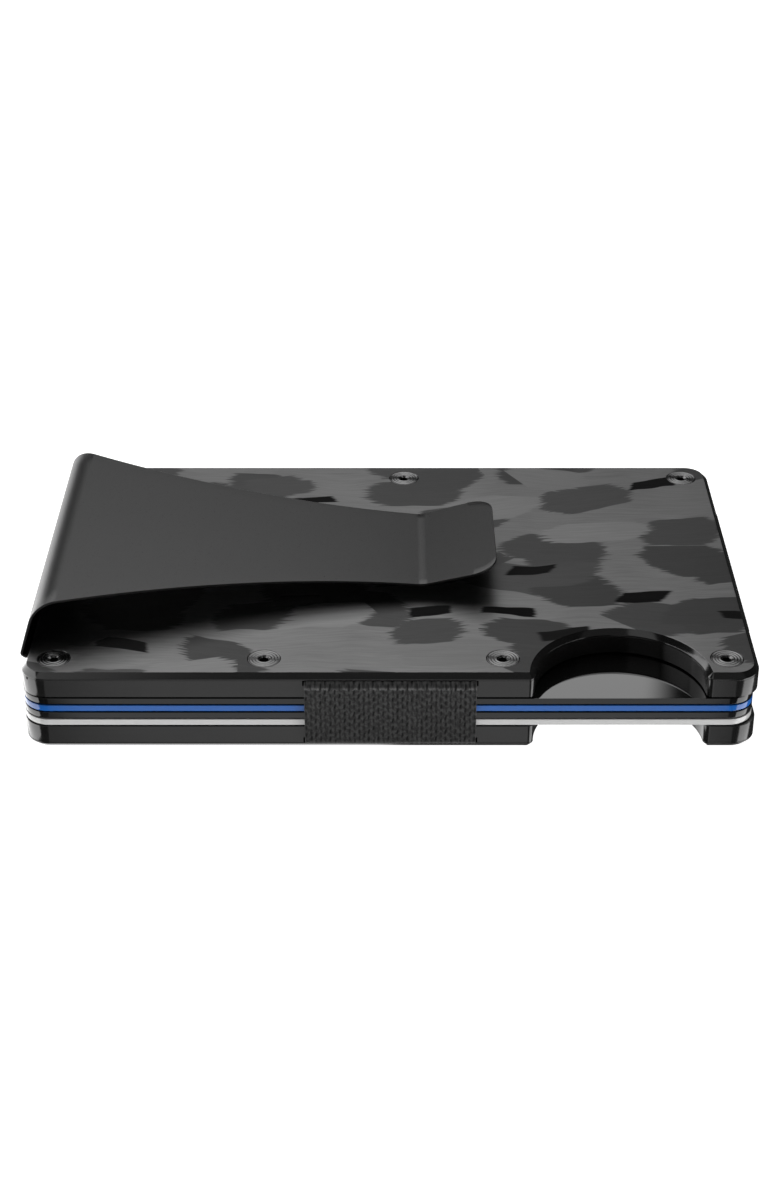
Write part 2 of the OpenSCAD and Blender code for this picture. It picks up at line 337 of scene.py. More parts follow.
def card_plastic(name, colour):
    """Laminated plastic: smooth and glossy, with a faint grain and a duller cut edge."""
    material, tree, shader = finish_material(name, IOR=1.5)
    place = place_in(tree)
    grain = Wire.node(tree, "ShaderNodeTexNoise", None, {"Vector": place, "Scale": 1.7, "Detail": 3.0})
    smear = Wire.node(tree, "ShaderNodeTexNoise", None, {"Vector": place, "Scale": 0.11, "Detail": 2.0})
    facing = Wire.node(tree, "ShaderNodeNewGeometry", output="Normal")
    upright = Wire.node(tree, "ShaderNodeSeparateXYZ", None, {0: facing}, "Z").math("ABSOLUTE").step(0.6, 0.9)
    tone = grain.mix(0.94, 1.06)
    base = Wire.node(tree, "ShaderNodeRGB")
    base.socket.default_value = (*colour, 1)
    painted = Wire.node(tree, "ShaderNodeVectorMath", {"operation": "SCALE"}, {0: base, "Scale": tone})
    tree.links.new(painted.socket, shader.inputs["Base Color"])
    roughness = upright.mix(0.06, 0.03) + smear.step(0.45, 0.75) * 0.03
    tree.links.new(roughness.socket, shader.inputs["Roughness"])
    return material


for card, colour in CARD_COLOURS.items():
    low, high = box_mm(card)
    edge = eased([(0.3, low.z), (0, low.z), (0, high.z), (0.3, high.z)], CARD_EDGE)
    piece = settled(slab("blank_" + card, rounded_rectangle(low, high, CARD_CORNER), edge))
    piece.data.materials.append(card_plastic(card + "_laminate", colour))
    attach(piece, "card_" + card.split("_")[0])
    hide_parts(card)


# ---- Frame plates ----
# The inner plate of each half, milled from aluminium and anodised black. Channels for the bands lie in its
# outer side, a seat for the clip in the top one, and the thumb notch is cut through its long edge.

PLATE_CORNER = 3.0
NOTCH_FROM_END = 16.25
NOTCH_R = 10.0
NOTCH_LIP = 0.7
EDGE_BREAK = 0.05
SCREW_HOLE_R = 0.82
HEAD_HOLE_R = 1.96
HEAD_HOLE_DEPTH = 1.14
BAND_PLAY = 0.2
BAND_SLACK = 0.03
HEM_L = 3.0
HEM_DEPTH = 1.36
FIT = 0.02
CLIP_T = 0.3
CLIP_BASE_X = (-42.2, -36.6)
CLIP_BASE_HALF_W = 26.2
CLIP_SEAT_DEPTH = 0.34
FOOT_SEAT_END_X = -40     # well inside the seat of the clip's base
FOOT_HALF_W = 21.3
FAR = 60
half_l, half_w = box_mm("bottom_face_plate")[1].xy
seam = box_mm("bottom_frame_plate")[0].z
body_t = box_mm("top_face_plate")[1].z
half_t = box_mm("bottom_frame_plate")[1].z
notch_x = half_l - NOTCH_FROM_END
notch_mouth = math.sqrt((NOTCH_R + NOTCH_LIP) ** 2 - NOTCH_LIP ** 2)
lip_turn = math.degrees(math.atan2(NOTCH_LIP, notch_mouth))


def plate_outline():
    """The plan of every plate: a rectangle with round corners and the thumb notch in its -Y edge."""
    lip_y = -half_w + NOTCH_LIP
    corners = rounded_rectangle((-half_l, -half_w), (half_l, half_w), PLATE_CORNER, 24)
    first = len(corners) // 4
    notch = arc((notch_x - notch_mouth, lip_y), NOTCH_LIP, 270, 360 - lip_turn, 10)
    notch += arc((notch_x, -half_w), NOTCH_R, 180 - lip_turn, lip_turn, 90, hollow=True)[1:-1]
    notch += arc((notch_x + notch_mouth, lip_y), NOTCH_LIP, 180 + lip_turn, 270, 10)
    return corners[:first] + notch + corners[first:]


def screw_places(*nodes):
    """The middle of each screw in some CAD nodes, in plan."""
    groups = []
    for node in nodes:
        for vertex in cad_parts[node].data.vertices:
            spot = Vector(vertex.co[:2]) / MM
            near = [group for group in groups if (group[0] - spot).length < 5]
            if near:
                near[0].append(spot)
            else:
                groups.append([spot])
    spans = [[[p[i] for p in group] for i in (0, 1)] for group in groups]
    return [tuple((min(values) + max(values)) / 2 for values in span) for span in spans]


def lathe(profile, centre=(0, 0), columns=48):
    """Points and faces of a closed turned solid. The profile runs from the axis and back to it."""
    ring = [math.tau * i / columns for i in range(columns)]
    body = profile[1:-1]
    points = [(centre[0] + r * math.cos(a), centre[1] + r * math.sin(a), z) for r, z in body for a in ring]
    first, last = len(points), len(points) + 1
    points += [(*centre, profile[0][1]), (*centre, profile[-1][1])]
    faces = []
    for i in range(columns):
        j = (i + 1) % columns
        faces.append((first, j, i))
        faces += [(k * columns + i, k * columns + j, (k + 1) * columns + j, (k + 1) * columns + i)
                  for k in range(len(body) - 1)]
        faces.append((last, (len(body) - 1) * columns + i, (len(body) - 1) * columns + j))
    return points, faces


def gathered(name, solids):
    """One object from several lots of points and faces."""
    points, faces = [], []
    for more_points, more_faces in solids:
        faces += [tuple(i + len(points) for i in face) for face in more_faces]
        points += more_points
    return new_piece(name, points, faces)


def block(low, high):
    """Points and faces of a box."""
    points = [(x, y, z) for x in (low[0], high[0]) for y in (low[1], high[1]) for z in (low[2], high[2])]
    return points, [(0, 1, 3, 2), (4, 6, 7, 5), (0, 4, 5, 1), (2, 3, 7, 6), (0, 2, 6, 4), (1, 5, 7, 3)]


def carve(piece, *cutters):
    """Cuts solids out of a piece."""
    for cutter in cutters:
        cut = piece.modifiers.new("cut", "BOOLEAN")
        cut.operation, cut.solver, cut.object = "DIFFERENCE", "EXACT", cutter
    applied(piece)
    for cutter in cutters:
        bpy.data.objects.remove(cutter)


def as_top(piece):
    """Turns a piece drawn for the bottom half into the top one's, mirrored about the middle of the body."""
    piece.data.transform(Matrix.Translation((0, 0, body_t * MM)) @ Matrix.Scale(-1, 4, (0, 0, 1)))
    piece.data.flip_normals()


screws_of = {
    "bottom": screw_places("bottom_corner_screws", "bottom_edge_screws"),
    "top": screw_places("top_corner_screws", "top_clip_screws", "top_edge_screws"),
}


def screw_holes(half):
    """A cutter for the countersunk holes of a half, drawn for the bottom one."""
    break_r = HEAD_HOLE_R + EDGE_BREAK
    profile = [(0, -1), (break_r, -1), (break_r, 0), (HEAD_HOLE_R, EDGE_BREAK),
               (SCREW_HOLE_R, HEAD_HOLE_DEPTH), (SCREW_HOLE_R, half_t + 1), (0, half_t + 1)]
    return gathered("screw_holes", [lathe(profile, place) for place in screws_of[half]])


def anodised():
    """Black anodised aluminium: a fine bead-blasted grain under a satin oxide skin."""
    material, tree, shader = finish_material("black_anodised", IOR=1.5)
    place = place_in(tree)
    grain = Wire.node(tree, "ShaderNodeTexNoise", None, {"Vector": place, "Scale": 9.0, "Detail": 2.0})
    cloud = Wire.node(tree, "ShaderNodeTexNoise", None, {"Vector": place, "Scale": 0.25, "Detail": 3.0})
    tree.links.new(grey(tree, grain.mix(0.004, 0.009)).socket, shader.inputs["Base Color"])
    tree.links.new(cloud.mix(0.11, 0.18).socket, shader.inputs["Roughness"])
    bumped(tree, shader, grain, 0.0008)
    return material


black_anodised = anodised()
cross_low, cross_high = box_mm("cross_band_bottom_run")
tail_low, tail_high = box_mm("end_band_bottom_tail")
end_band_x = box_mm("end_band_side")[0].x
channel_top = cross_high.z + BAND_SLACK
end_y = tail_high.y + BAND_PLAY
hem_x = tail_low.x - BAND_PLAY
cross_x = cross_high.x + BAND_PLAY


def pocket(low, high):
    """A cutter in the shape of a box."""
    return gathered("pocket", [block(low, high)])


for half in ("bottom", "top"):
    rim = eased([(0.5, seam), (0, seam), (0, half_t), (0.5, half_t)], EDGE_BREAK, 3)
    piece = slab(half + "_frame", plate_outline(), rim)
    cross_channel = pocket((-cross_x, -FAR, -1), (cross_x, FAR, channel_top))
    end_channel = pocket((hem_x, -end_y, -1), (FAR, end_y, channel_top))
    hem_pocket = pocket((hem_x, -end_y, -1), (tail_low.x + HEM_L + BAND_PLAY, end_y, seam + HEM_DEPTH))
    end_recess = pocket((end_band_x - FIT, -end_y, -1), (FAR, end_y, FAR))
    carve(piece, screw_holes(half), cross_channel, end_channel, hem_pocket, end_recess)
    if half == "top":
        seat_x = (CLIP_BASE_X[0] - FIT, CLIP_BASE_X[1] + FIT)
        seat_y = CLIP_BASE_HALF_W + FIT
        foot_y = FOOT_HALF_W + FIT
        seat_z = seam + CLIP_SEAT_DEPTH
        clip_seat = pocket((seat_x[0], -seat_y, -1), (seat_x[1], seat_y, seat_z))
        foot_seat = pocket((-FAR, -foot_y, -1), (FOOT_SEAT_END_X, foot_y, seat_z))
        carve(piece, clip_seat, foot_seat)
        as_top(piece)
    settled(piece)
    piece.data.materials.append(black_anodised)
    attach(piece, half + "_half")
    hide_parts(half + "_frame_plate")


# ---- Face plates ----
# The outer plate of each half, cut from forged carbon: chopped tow pressed flat in resin, so that torn,
# streaked chips of black and grey lie over each other. Its outer rim has a chamfer, and the screws are
# sunk in it.

RIM_CHAMFER = 0.62
RIM_EASE = 0.05
CELL_SQUEEZE = 0.66


def chips(tree, place, seed, cell, length, width, share, lean=0.35, fray=2.3, bow=0.38):
    """Torn chips, at most one to a cell: how far a point is on one, its random tone, and its streaks."""
    x = Wire.node(tree, "ShaderNodeSeparateXYZ", None, {0: place}, "X")
    y = x.other("Y")
    values = {"X": x * CELL_SQUEEZE + seed * 13.7, "Y": y + seed * 7.9}
    spread = Wire.node(tree, "ShaderNodeCombineXYZ", None, values)
    values = {"Vector": spread, "Scale": 1 / cell, "Randomness": 0.8}
    colour = Wire.node(tree, "ShaderNodeTexVoronoi", {"voronoi_dimensions": "2D"}, values, "Color")
    values = {0: spread, 1: colour.other("Position")}
    offset = Wire.node(tree, "ShaderNodeVectorMath", {"operation": "SUBTRACT"}, values)
    red = Wire.node(tree, "ShaderNodeSeparateColor", None, {0: colour}, "Red")
    green, blue = red.other("Green"), red.other("Blue")
    dx = Wire.node(tree, "ShaderNodeSeparateXYZ", None, {0: offset}, "X")
    dy = dx.other("Y")
    dx = dx / CELL_SQUEEZE
    turn = (red - 0.5) * (2 * lean)
    along = dx * turn.math("COSINE") + dy * turn.math("SINE")
    across = dy * turn.math("COSINE") - dx * turn.math("SINE")
    fibre = Wire.node(tree, "ShaderNodeCombineXYZ", None,
                      {"X": along * 0.16 + green * 31, "Y": across * 3.4, "Z": blue * 17})
    values = {"Vector": fibre, "Scale": 1.0, "Detail": 4.0, "Roughness": 0.65}
    streak = Wire.node(tree, "ShaderNodeTexNoise", None, values)
    values = {"Vector": spread, "Scale": 0.22, "Detail": 1.5}
    wander = Wire.node(tree, "ShaderNodeTexNoise", None, values) - 0.5
    half_length = blue.mix(0.38, 0.56) * length
    half_width = green.mix(0.36, 0.54) * width
    slant = (green * 7.7 + blue * 3.3).math("FRACT") - 0.5
    narrowing = 1 - (across / half_width) * (across / half_width) * bow
    torn_end = half_length * narrowing + (streak - 0.5) * fray * 2.6
    ends = torn_end - (along + across * slant * 1.3).math("ABSOLUTE")
    sides = half_width - (across + wander * 2.2).math("ABSOLUTE") + (streak - 0.5) * 0.1
    there = (blue * 3.17 + green * 2.31).math("FRACT").math("LESS_THAN", share)
    tone = (green * 5.3 + red * 3.1).math("FRACT")
    return ends.step(-0.35, 0.40) * sides.step(-0.04, 0.07) * there, tone, streak


def forged_carbon(name, shift):
    """Pressed carbon chips in resin: a light streaked ground, large darker chips, and a few small black ones.

    The chips' fibres shine like dull metal. Where the rim is cut across them there is glossy black resin.
    """
    material, tree, shader = finish_material(name, IOR=1.5, Specular_IOR_Level=0.0, Coat_Roughness=0.12)
    place = place_in(tree)
    values = {0: place, 1: (shift, shift * 0.6, 0)}
    place = Wire.node(tree, "ShaderNodeVectorMath", {"operation": "ADD"}, values)
    x = Wire.node(tree, "ShaderNodeSeparateXYZ", None, {0: place}, "X")
    y = x.other("Y")
    patch = Wire.node(tree, "ShaderNodeTexNoise", None, {"Vector": place, "Scale": 0.09, "Detail": 1.0})
    combed = Wire.node(tree, "ShaderNodeCombineXYZ", None, {"X": x * 0.16, "Y": (y + patch * 3.5) * 2.8})
    values = {"Vector": combed, "Scale": 1.0, "Detail": 5.0, "Roughness": 0.65, "Distortion": 0.4}
    ground = Wire.node(tree, "ShaderNodeTexNoise", None, values)
    level = ground.mix(0.049, 0.133) * patch.mix(0.85, 1.15)
    for seed, cell, length, width, share, low, high in (
            (1, 11.0, 12.5, 8.0, 0.62, 0.024, 0.034),
            (2, 12.0, 11.5, 9.0, 0.62, 0.020, 0.030),
            (5, 11.5, 13.0, 6.5, 0.36, 0.080, 0.130),
            (4, 12.5, 10.5, 7.0, 0.45, 0.022, 0.038)):
        there, tone, streak = chips(tree, place, seed, cell, length, width, share)
        level = there.mix(level, tone.mix(low, high) * streak.mix(0.75, 1.25))
    black, tone, streak = chips(tree, place, 3, 9.6, 6.0, 2.4, 0.40, fray=0.5, bow=0)
    level = black.mix(level, tone.mix(0.008, 0.014) * streak.mix(0.7, 1.3))
    facing = Wire.node(tree, "ShaderNodeNewGeometry", output="Normal")
    flatness = Wire.node(tree, "ShaderNodeSeparateXYZ", None, {0: facing}, "Z").math("ABSOLUTE")
    cut = 1 - flatness.step(0.78, 0.92)
    tree.links.new(grey(tree, cut.mix(level, ground.mix(0.002, 0.008))).socket, shader.inputs["Base Color"])
    tree.links.new(((1 - black) * (1 - cut)).socket, shader.inputs["Metallic"])
    tree.links.new(cut.socket, shader.inputs["Coat Weight"])
    tree.links.new(ground.mix(0.34, 0.46).socket, shader.inputs["Roughness"])
    bumped(tree, shader, ground, 0.003)
    return material


for half, shift in (("bottom", 47.0), ("top", 0.0)):
    corners = [(NOTCH_LIP - 0.01, 0), (RIM_CHAMFER, 0), (0, RIM_CHAMFER), (0, seam), (0.3, seam)]
    rim = eased(corners, RIM_EASE, 3)
    piece = slab(half + "_face", plate_outline(), rim)
    carve(piece, screw_holes(half))
    if half == "top":
        as_top(piece)
    settled(piece, 50)
    piece.data.materials.append(forged_carbon(half + "_forged_carbon", shift))
    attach(piece, half + "_half")
    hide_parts(half + "_face_plate")


# ---- Screws ----
# Small countersunk screws of blackened steel, seven to a half. The lathe has left fine rings on each flat
# head, and the six-lobed socket has a bright bevelled rim.

HEAD_R = 1.9
HEAD_DEPTH = 0.02
SHANK_R = 0.8
SCREW_L = 2.7
SOCKET_R = 0.50
SOCKET_LOBE = 0.075
SOCKET_DEPTH = 0.7
SOCKET_RIM_R = 0.78
RING_PITCH = 0.27
RING_DEPTH = 0.05
RING_STEPS = 6


def screw_profile():
    """Radius, height below the head and how lobed, from the socket's floor to the screw's point."""
    rows = [(SOCKET_R, SOCKET_DEPTH, 1), (SOCKET_R, 0.2, 1), (SOCKET_R + 0.02, 0.15, 1)]
    rows += [(SOCKET_RIM_R - 0.05, 0.03, 0.1), (SOCKET_RIM_R, 0.0, 0)]
    start, end = SOCKET_RIM_R + 0.03, HEAD_R - 0.06
    count = int((end - start) / RING_PITCH) * RING_STEPS
    for i in range(count + 1):
        radius = start + (end - start) * i / count
        rows.append((radius, RING_DEPTH * (0.5 - 0.5 * math.cos(math.tau * i / RING_STEPS)), 0))
    rows += [(HEAD_R - 0.04, 0.003, 0), (HEAD_R - 0.01, 0.015, 0), (HEAD_R, 0.05, 0)]
    rows += [(SHANK_R + 0.03, HEAD_R - SHANK_R, 0), (SHANK_R, HEAD_R - SHANK_R + 0.05, 0)]
    return rows + [(SHANK_R, SCREW_L - 0.1, 0), (SHANK_R - 0.1, SCREW_L, 0)]


def master_screw():
    """One screw with its head at the origin, point down."""
    columns = 60
    rows = screw_profile()
    points = []
    for radius, depth, lobed in rows:
        for i in range(columns):
            a = math.tau * i / columns
            lobed_r = radius + lobed * SOCKET_LOBE * math.cos(6 * a)
            points.append((lobed_r * math.cos(a), lobed_r * math.sin(a), -depth))
    floor_mid, point_mid = len(points), len(points) + 1
    points += [(0, 0, -SOCKET_DEPTH), (0, 0, -SCREW_L)]
    faces = []
    for i in range(columns):
        j = (i + 1) % columns
        faces.append((floor_mid, i, j))
        faces += [(k * columns + j, k * columns + i, (k + 1) * columns + i, (k + 1) * columns + j)
                  for k in range(len(rows) - 1)]
        faces.append((point_mid, (len(rows) - 1) * columns + j, (len(rows) - 1) * columns + i))
    return new_piece("master_screw", points, faces)


def blackened_steel():
    """Blackened steel, turned on a lathe: dark, half glossy, with a slight grain."""
    material, tree, shader = finish_material("blackened_steel", IOR=1.5, Metallic=1.0)
    place = place_in(tree)
    grain = Wire.node(tree, "ShaderNodeTexNoise", None, {"Vector": place, "Scale": 5.0, "Detail": 3.0})
    tree.links.new(grey(tree, grain.mix(0.055, 0.095)).socket, shader.inputs["Base Color"])
    tree.links.new(grain.mix(0.16, 0.26).socket, shader.inputs["Roughness"])
    return material


def geometry_tree(name, **inputs):
    """A Geometry Nodes tree with named inputs, each given its kind of socket, and the node of its inputs."""
    tree = bpy.data.node_groups.new(name, "GeometryNodeTree")
    for title, kind in {"Geometry": "Geometry", **inputs}.items():
        tree.interface.new_socket(title.replace("_", " "), in_out="INPUT", socket_type="NodeSocket" + kind)
    tree.interface.new_socket("Geometry", in_out="OUTPUT", socket_type="NodeSocketGeometry")
    return tree, Wire.node(tree, "NodeGroupInput")


def finished_tree(tree, geometry, material):
    """Ends a tree: its instances made real, and a material set."""
    real = Wire.node(tree, "GeometryNodeRealizeInstances", None, {0: geometry})
    finished = Wire.node(tree, "GeometryNodeSetMaterial", None, {"Geometry": real, "Material": material})
    tree.links.new(finished.socket, tree.nodes.new("NodeGroupOutput").inputs[0])
    return tree


def screw_tree():
    """Geometry Nodes: a screw at each point, each turned by chance about its own axis."""
    tree, given = geometry_tree("screws", Screw="Object", Upside_Down="Float", Seed="Int",
                                Material="Material")
    turn = Wire.node(tree, "FunctionNodeRandomValue", {"data_type": "FLOAT"},
                     {"Min": 0.0, "Max": math.tau, "Seed": given.other("Seed")}, "Value")
    angles = Wire.node(tree, "ShaderNodeCombineXYZ", None, {"X": given.other("Upside Down"), "Z": turn})
    shape = Wire.node(tree, "GeometryNodeObjectInfo", None, {"Object": given.other("Screw")}, "Geometry")
    placed = Wire.node(tree, "GeometryNodeInstanceOnPoints", None,
                       {"Points": given, "Instance": shape, "Rotation": angles})
    return finished_tree(tree, placed, given.other("Material"))


def set_input(modifier, name, value):
    """Sets a modifier's input by its socket's identifier."""
    for item in modifier.node_group.interface.items_tree:
        if item.item_type == "SOCKET" and item.in_out == "INPUT" and item.name == name:
            modifier[item.identifier] = value


one_screw = master_screw()
one_screw.data.shade_smooth()
one_screw.data.set_sharp_from_angle(angle=math.radians(35))
steel = blackened_steel()
screws = screw_tree()
screw_nodes = ["bottom_corner_screws", "bottom_edge_screws"]
screw_nodes += ["top_corner_screws", "top_clip_screws", "top_edge_screws"]
for seed, node in enumerate(screw_nodes):
    top = node.startswith("top")
    head_z = body_t - HEAD_DEPTH if top else HEAD_DEPTH
    piece = new_piece("turned_" + node, [(x, y, head_z) for x, y in screw_places(node)], [])
    modifier = piece.modifiers.new("screws", "NODES")
    modifier.node_group = screws
    set_input(modifier, "Screw", one_screw)
    set_input(modifier, "Upside Down", 0.0 if top else math.pi)
    set_input(modifier, "Seed", seed + 3)
    set_input(modifier, "Material", steel)
    applied(piece)
    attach(piece, "top_half" if top else "bottom_half")
    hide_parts(node)
bpy.data.objects.remove(one_screw)


# ---- Elastic bands ----
# Two bands of black knitted elastic draw the halves together. One loops across both halves in their channels
# and shows on the two long edges; the other closes the end away from the clip, its hemmed tails in pockets.

RIB_PITCH = 0.56
ROW_PITCH = 0.98
RELIEF = 0.085
PAINTED_HIGHLIGHT_LINE = body_t / 2 - cross_low.z - 0.72     # the height of the painted highlight along the band's upper bend, from the middle of the body
band_t = cross_high.z - cross_low.z


def knit(u, v):
    """The height of the knit, 0 to 1: upright ribs, with sunk slits between them, staggered."""
    place = Wire.node(u.tree, "ShaderNodeCombineXYZ", None, {"X": u, "Y": v})
    values = {"Vector": place, "Scale": 0.9, "Detail": 2.0}
    wander = Wire.node(u.tree, "ShaderNodeTexNoise", None, values) - 0.5
    rib = (u + wander * 0.30) / RIB_PITCH
    side = rib.math("FRACT") - 0.5
    number = rib - rib.math("FRACT")
    row = (v + wander * 0.45) / ROW_PITCH + number.math("MODULO", 2).math("ABSOLUTE") * 0.5
    along = row.math("FRACT") - 0.5
    cell = Wire.node(u.tree, "ShaderNodeCombineXYZ", None, {"X": number, "Y": row - row.math("FRACT")})
    chance = Wire.node(u.tree, "ShaderNodeTexWhiteNoise", {"noise_dimensions": "2D"}, {"Vector": cell})
    lean = (chance - 0.5) * 0.6
    gap = (side - along * lean).math("ABSOLUTE")
    slit = (1 - gap.step(0.10, 0.30)) * (1 - along.math("ABSOLUTE").step(0.18, 0.40)) * chance.mix(0.5, 1.0)
    return gap.step(0, 0.45).mix(0.78, 1.0) * (1 - slit)


def knit_tree():
    """Geometry Nodes: raises the knit from a smooth band, where its weave attribute's third number says."""
    tree, given = geometry_tree("knit", Relief="Float", Material="Material")
    settings = {"data_type": "FLOAT_VECTOR"}
    weave = Wire.node(tree, "GeometryNodeInputNamedAttribute", settings, {"Name": "weave"}, "Attribute")
    u = Wire.node(tree, "ShaderNodeSeparateXYZ", None, {0: weave}, "X")
    v, shown = u.other("Y"), u.other("Z")
    normal = Wire.node(tree, "GeometryNodeInputNormal")
    rise = (knit(u, v) - 1) * shown * given.other("Relief")
    offset = Wire.node(tree, "ShaderNodeVectorMath", {"operation": "SCALE"}, {0: normal, "Scale": rise})
    raised = Wire.node(tree, "GeometryNodeSetPosition", None, {"Geometry": given, "Offset": offset})
    return finished_tree(tree, raised, given.other("Material"))


def elastic():
    """Black knitted elastic: matt thread with a soft sheen and a little fuzz, and painted shade between the
    ribs.
    """
    material, tree, shader = finish_material("knitted_elastic", IOR=1.45, Specular_IOR_Level=0.3,
                                             Sheen_Weight=0.08, Sheen_Roughness=0.5)
    weave = Wire.node(tree, "ShaderNodeAttribute", {"attribute_name": "weave"}, output="Vector")
    u = Wire.node(tree, "ShaderNodeSeparateXYZ", None, {0: weave}, "X")
    v = u.other("Y")
    # painted shade: the colour follows the knit's height, near black in the slits and darker between the ribs
    knit_height_shade = knit(u, v)
    strand = Wire.node(tree, "ShaderNodeCombineXYZ", None, {"X": u * 2.8, "Y": v * 2.0})
    strand = Wire.node(tree, "ShaderNodeTexNoise", None, {"Vector": strand, "Scale": 1.0, "Detail": 2.0})
    place = place_in(tree)
    values = {"Vector": place, "Scale": 6.0, "Detail": 4.0, "Roughness": 0.7}
    fuzz = Wire.node(tree, "ShaderNodeTexNoise", None, values)
    cloud = Wire.node(tree, "ShaderNodeTexNoise", None, {"Vector": place, "Scale": 0.5, "Detail": 2.0})
    rest_height = Wire.node(tree, "ShaderNodeAttribute", {"attribute_name": "rest_height"}, output="Fac")
    # painted highlight: the colour is made lighter along a line on the band's upper bend, where light falls
    painted_highlight = 1 - (rest_height - PAINTED_HIGHLIGHT_LINE).math("ABSOLUTE").step(0.03, 0.30)
    level = knit_height_shade.mix(0.0003, 0.027) * fuzz.mix(0.5, 1.5) * cloud.mix(0.8, 1.2) * painted_highlight.mix(1.0, 2.2)
    # painted shade and light: the band is darker towards the bottom and lighter towards the top
    level = level * strand.step(0.36, 0.64).mix(0.5, 1.4) * rest_height.step(-8.0, 5.0).mix(0.7, 1.15)
    tree.links.new(grey(tree, level).socket, shader.inputs["Base Color"])
    tree.links.new(fuzz.mix(0.7, 0.95).socket, shader.inputs["Roughness"])
    bumped(tree, shader, fuzz, 0.03)
    return material


def run(start, end, pitch):
    """Stations along a straight stretch of the band's inner side, without its end: place and way out."""
    start, end = Vector(start), Vector(end)
    steps = max(1, round((end - start).length / pitch))
    ahead = (end - start).normalized()
    return [(start + (end - start) * (i / steps), Vector((ahead.y, -ahead.x))) for i in range(steps)]


def turn_round(corner, start, steps=10):
    """Stations round an inner corner, through a quarter turn to the left from a start angle."""
    turns = [math.radians(start + 90 * i / steps) for i in range(steps)]
    return [(Vector(corner), Vector((math.cos(a), math.sin(a)))) for a in turns]


def band(name, stations, across, closed, half_width):
    """A band along stations in a plane. across turns a place there and one along the width to a point."""
    columns = max(8, round(2 * half_width / RIB_PITCH * 8))
    lip = 0.12
    outer = [-half_width + lip + (2 * half_width - 2 * lip) * i / columns for i in range(columns + 1)]
    section = [(u, 1.0, 1) for u in outer]
    round_edge = [(half_width - lip * 0.3, 0.9, 0), (half_width, 0.65, 0), (half_width, 0.3, 0)]
    round_edge.append((half_width - lip, 0, 0))
    section += round_edge + [(-u, share, shown) for u, share, shown in reversed(round_edge)]
    points, weave, length, before = [], [], 0.0, None
    for place, out in stations:
        middle = place + out * band_t / 2
        length += (middle - before).length if before else 0
        before = middle
        for u, share, shown in section:
            points.append(across(place + out * band_t * share, u))
            weave.append((u + 40 * RIB_PITCH, length, shown))
    m, n = len(section), len(stations)
    faces = [(k * m + i, k * m + (i + 1) % m, ((k + 1) % n) * m + (i + 1) % m, ((k + 1) % n) * m + i)
             for k in range(n if closed else n - 1) for i in range(m)]
    if not closed:
        faces += [tuple(reversed(range(m))), tuple(range((n - 1) * m, n * m))]
    piece = new_piece(name, points, faces)
    numbers = [number for station in weave for number in station]
    heights = [z - body_t / 2 for _, _, z in points]
    piece.data.attributes.new("weave", "FLOAT_VECTOR", "POINT").data.foreach_set("vector", numbers)
    piece.data.attributes.new("rest_height", "FLOAT", "POINT").data.foreach_set("value", heights)
    return piece


knit_modifier_tree = knit_tree()
knitted_elastic = elastic()


def knitted(piece, *nodes):
    """Raises the knit on a band and hides the CAD nodes it replaces; the band stays in place, on neither
    half.
    """
    modifier = piece.modifiers.new("knit", "NODES")
    modifier.node_group = knit_modifier_tree
    set_input(modifier, "Relief", RELIEF * MM)
    set_input(modifier, "Material", knitted_elastic)
    applied(piece).data.shade_smooth()
    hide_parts(*nodes)
    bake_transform(piece)


cross_y = half_w + FIT
low_in, high_in = cross_low.z + band_t, body_t - cross_low.z - band_t
fine, coarse = 0.11, 3.0
cross_path = (
    run((cross_y, low_in), (cross_y, high_in), fine) + turn_round((cross_y, high_in), 0)
    + run((cross_y, high_in), (-cross_y, high_in), coarse) + turn_round((-cross_y, high_in), 90)
    + run((-cross_y, high_in), (-cross_y, low_in), fine) + turn_round((-cross_y, low_in), 180)
    + run((-cross_y, low_in), (cross_y, low_in), coarse) + turn_round((cross_y, low_in), 270)
)
cross_band = band("cross_band", cross_path, lambda place, u: (-u, place.x, place.y), True, cross_high.x)
cross_band_nodes = [f"cross_band_{part}" for part in ("bottom_run", "top_run", "front_side", "back_side")]
knitted(cross_band, *cross_band_nodes)

tail_x = tail_low.x
end_path = (
    run((tail_x, low_in), (tail_x + HEM_L, low_in), 0.5)
    + run((tail_x + HEM_L, low_in), (end_band_x, low_in), coarse) + turn_round((end_band_x, low_in), 270)
    + run((end_band_x, low_in), (end_band_x, high_in), fine) + turn_round((end_band_x, high_in), 0)
    + run((end_band_x, high_in), (tail_x, high_in), coarse) + [(Vector((tail_x, high_in)), Vector((0, 1)))]
)
end_band = band("end_band", end_path, lambda place, u: (place.x, u, place.y), False, tail_high.y)
knitted(end_band, "end_band_bottom_tail", "end_band_top_tail", "end_band_side")


# ---- Money clip ----
# A single sheet of spring steel, 0.3 thick and coated black. Its base is trapped under the face plate by the
# two end screws, its foot curls round the plate's end, and its arm tapers across the face to a turned-up tip.

CREASE_HALF_W = 9.2
TIP_HALF_W = 9.5
FOOT_R = 0.4
LEG_L = 3.93
LEG_LEAN = 17.0
CROWN_R = 2.9
ARM_SLOPE = 4.75
ARM_L = 43.4
TIP_L = 9.3
TIP_RISE = 14.5
TIP_CORNER = 3.0
TAPER_POWER = 1.87
CREASE_BEND_L = 1.2
CREASE_STEPS = 8
TIP_STEPS = 20
SHEET_COLUMNS = 14
SHEET_EDGE_R = 0.07
EAR_R = 2.4
PIN_HOLE_R = 1.16
PIN_CUTTER_Z = (5, 15)     # well clear of the sheet, below and above
foot = Vector((-half_l - 0.03, body_t - seam - FIT - CLIP_T / 2))


